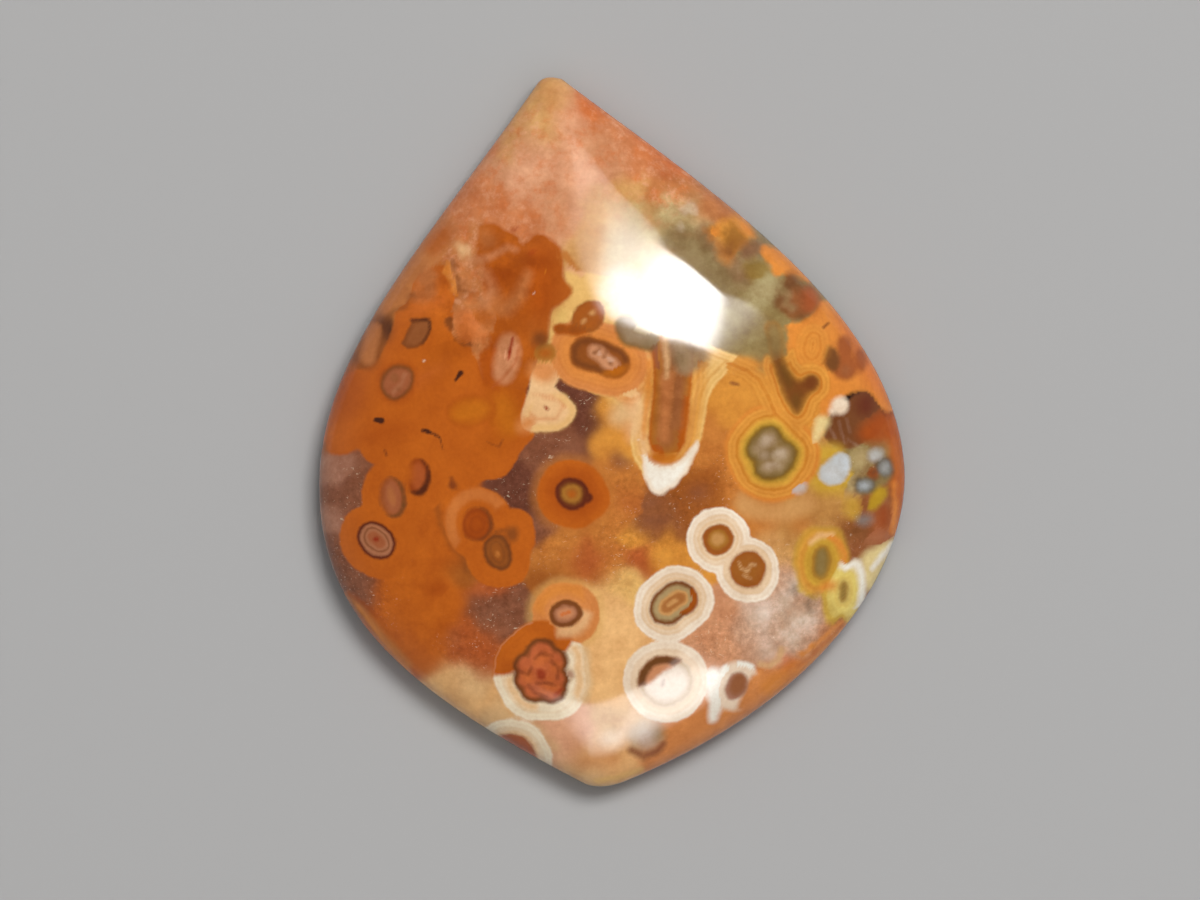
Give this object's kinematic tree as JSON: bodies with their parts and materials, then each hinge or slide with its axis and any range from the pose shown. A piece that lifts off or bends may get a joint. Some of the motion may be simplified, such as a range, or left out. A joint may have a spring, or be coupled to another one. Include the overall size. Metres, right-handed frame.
{
  "type": "crazy lace agate cabochon",
  "caption": "Leaf-shaped polished agate cabochon with a pointed tip, a low domed top, a thin girdle and a flat bevelled back.",
  "frame": {"origin": "centre of the outline's bounding box, on the flat back", "axes": "+Z out of the dome, +Y towards the pointed tip, +X across the stone to the right when it is seen from above with the tip up"},
  "size_m": [0.033, 0.04, 0.006],
  "materials": {
    "polished_agate": "mirror-polished opaque to translucent banded agate: orange, cream and honey orbs in mauve-brown quartz"
  },
  "bodies": {
    "root": {"cabochon": "polished_agate"}
  },
  "joints": []
}
